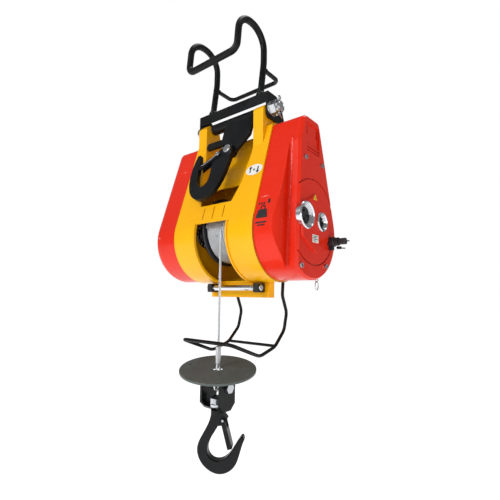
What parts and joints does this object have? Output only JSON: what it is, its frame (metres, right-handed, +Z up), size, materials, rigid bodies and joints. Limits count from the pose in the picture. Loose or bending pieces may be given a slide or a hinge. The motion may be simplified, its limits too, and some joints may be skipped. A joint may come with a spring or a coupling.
{
  "type": "electric wire rope hoist",
  "caption": "Compact electric wire-rope hoist hung from a tube by two rod hooks, with a drum between red covers, a limit frame, a disc and a swivel load hook.",
  "frame": {"origin": "middle of the scaffold tube that the two hanger hooks lie over", "axes": "+Z up along the hanging rope, -Y towards the front where the rope falls, +X towards the motor end with the sockets"},
  "size_m": [0.432, 0.2633, 0.9746],
  "materials": {
    "yellow_paint": "gloss",
    "red_paint": "gloss",
    "black_coat": "satin",
    "black_steel": "satin",
    "zinc_steel": "satin",
    "chrome": "polished",
    "black_plastic": "matte",
    "drum_steel": "satin",
    "copper_iron": "satin",
    "rope_wire": "satin",
    "aluminium": "satin",
    "label_white": "matte",
    "label_yellow": "matte"
  },
  "bodies": {
    "hanger": {"hanger_hook_rod": "black_coat", "hanger_brace_rod": "black_coat", "leg_collars": "black_coat", "hanger_channel": "black_coat", "suspension_shaft": "zinc_steel", "shaft_washer": "zinc_steel", "castle_nut": "zinc_steel", "split_pin": "zinc_steel"},
    "casing": {"drum_shell": "yellow_paint", "rear_cover": "yellow_paint", "gear_cover": "red_paint", "gear_cover_screws": "zinc_steel", "motor_cover": "red_paint", "end_cap": "red_paint", "end_cap_screws": "zinc_steel", "power_socket_bell": "chrome", "power_socket_insert": "black_plastic", "control_socket_bell": "chrome", "control_socket_insert": "black_plastic", "limit_switch": "black_plastic", "warning_triangle": "label_yellow", "rating_label": "label_white", "roller_bracket": "yellow_paint", "roller_end_blocks": "black_plastic", "roller_bolt": "zinc_steel", "drum_bearings": "zinc_steel", "intermediate_shaft": "drum_steel", "motor_stator": "copper_iron", "brake_coil": "copper_iron", "limit_hinge_blocks": "black_coat", "limit_hinge_pins": "zinc_steel"},
    "drum": {"rope_drum": "drum_steel", "rope_winding": "rope_wire", "rope_clamp": "zinc_steel", "drum_gear": "drum_steel"},
    "gear_cluster": {"intermediate_gears": "drum_steel"},
    "rotor": {"motor_rotor": "drum_steel", "cooling_fan": "black_plastic", "brake_disc": "drum_steel"},
    "roller": {"guide_roller": "chrome"},
    "hook_block": {"rope_fall": "rope_wire", "rope_ferrule": "aluminium", "rope_eye": "rope_wire", "limit_disc": "black_coat", "hook_bracket": "black_coat", "bracket_bolt": "zinc_steel", "thrust_bearing": "zinc_steel"},
    "hook": {"load_hook": "black_steel", "hook_nut": "zinc_steel", "load_latch_rivet": "zinc_steel"},
    "hook_latch": {"load_hook_latch": "black_steel"},
    "yoke": {"hook_yoke": "black_coat", "yoke_pin": "zinc_steel"},
    "stow_hook": {"stowed_hook": "black_steel", "stowed_latch_rivet": "zinc_steel"},
    "stow_latch": {"stowed_hook_latch": "black_steel"},
    "limit_loop": {"limit_frame": "black_coat"},
    "lever": {"limit_lever": "black_plastic"}
  },
  "joints": [
    {"name": "casing_swing", "type": "hinge", "parent": "hanger", "child": "casing", "pos_m": [0, 0.033, -0.158], "axis": [1, 0, 0], "range_deg": [-6, 6]},
    {"name": "drum_spin", "type": "hinge", "parent": "casing", "child": "drum", "pos_m": [0, 0.057, -0.418], "axis": [1, 0, 0], "range_deg": [0, 437]},
    {"name": "hoist", "type": "slide", "parent": "casing", "child": "hook_block", "axis": [0, 0, -1], "range_m": [0, 0.601], "deforming": ["rope_fall"]},
    {"name": "gear_cluster_spin", "type": "hinge", "parent": "casing", "child": "gear_cluster", "pos_m": [0, 0.057, -0.3655], "axis": [1, 0, 0], "range_deg": [-2113, 0]},
    {"name": "rotor_spin", "type": "hinge", "parent": "casing", "child": "rotor", "pos_m": [0, 0.057, -0.418], "axis": [1, 0, 0], "range_deg": [0, 15631]},
    {"name": "roller_spin", "type": "hinge", "parent": "casing", "child": "roller", "pos_m": [0, 0.037, -0.552], "axis": [1, 0, 0], "continuous": true},
    {"name": "hook_swivel", "type": "hinge", "parent": "hook_block", "child": "hook", "pos_m": [0.012, -0.0218, -0.788], "axis": [0, 0, 1], "continuous": true},
    {"name": "load_latch_open", "type": "hinge", "parent": "hook", "child": "hook_latch", "pos_m": [0.02387, -0.01438, -0.82], "axis": [0.5299, -0.848, 0], "range_deg": [-40, 0], "stiffness_Nm_per_rad": 0.05, "springref_deg": 34.38},
    {"name": "yoke_swing", "type": "hinge", "parent": "casing", "child": "yoke", "pos_m": [0, 0.033, -0.158], "axis": [1, 0, 0], "range_deg": [-70, 0]},
    {"name": "stowed_hook_turn", "type": "hinge", "parent": "yoke", "child": "stow_hook", "pos_m": [0.02, -0.01, -0.246], "axis": [0, -0.9563, 0.2924], "range_deg": [0, 20]},
    {"name": "stowed_latch_open", "type": "hinge", "parent": "stow_hook", "child": "stow_latch", "pos_m": [-0.005, -0.01234, -0.25365], "axis": [0, -0.9563, 0.2924], "range_deg": [0, 24], "stiffness_Nm_per_rad": 0.05, "springref_deg": -34.38},
    {"name": "limit_frame_lift", "type": "hinge", "parent": "casing", "child": "limit_loop", "pos_m": [0, 0.135, -0.518], "axis": [1, 0, 0], "range_deg": [-12, 0]},
    {"name": "limit_lever_turn", "type": "hinge", "parent": "casing", "child": "lever", "pos_m": [0.21, 0.127, -0.452], "axis": [1, 0, 0], "range_deg": [-30, 30], "stiffness_Nm_per_rad": 0.05}
  ],
  "couplings": [
    {"joint": "hoist", "follows": "drum_spin", "m_per_rad": 0.0788},
    {"joint": "gear_cluster_spin", "follows": "drum_spin", "ratio": -4.8333},
    {"joint": "rotor_spin", "follows": "drum_spin", "ratio": 35.767}
  ]
}
